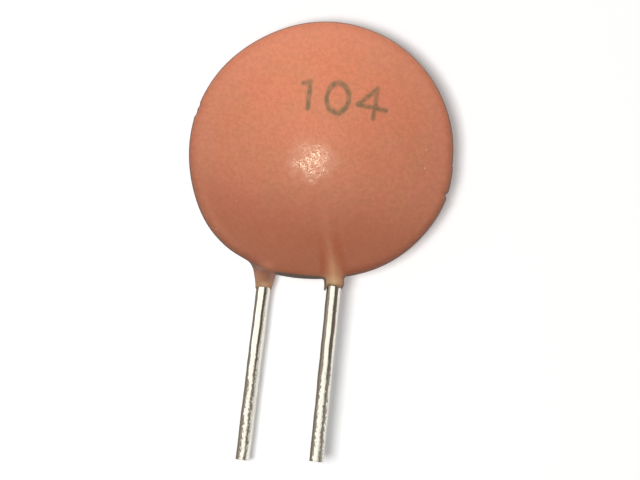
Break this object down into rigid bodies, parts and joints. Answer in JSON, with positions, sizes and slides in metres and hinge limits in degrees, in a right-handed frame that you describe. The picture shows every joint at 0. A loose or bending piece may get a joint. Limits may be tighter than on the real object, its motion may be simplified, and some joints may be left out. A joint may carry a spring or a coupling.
{
  "type": "ceramic disc capacitor",
  "caption": "Round ceramic disc capacitor in a dipped orange-brown coat, with straight radial wire leads.",
  "frame": {"origin": "under the middle of the bounding box, on the surface that the part lies on", "axes": "+Z out of the marked face, -Y along the leads towards their cut ends, +X to the right as the marked face is read with the leads down"},
  "size_m": [0.0096, 0.0164, 0.0025],
  "materials": {
    "coat": "satin",
    "ceramic": "matte",
    "silver": "matte",
    "tinned_wire": "polished",
    "solder": "satin"
  },
  "bodies": {
    "root": {"coating": "coat", "ceramic_disc": "ceramic", "front_electrode": "silver", "rear_electrode": "silver", "front_lead": "tinned_wire", "rear_lead": "tinned_wire", "front_solder": "solder", "rear_solder": "solder"}
  },
  "joints": []
}
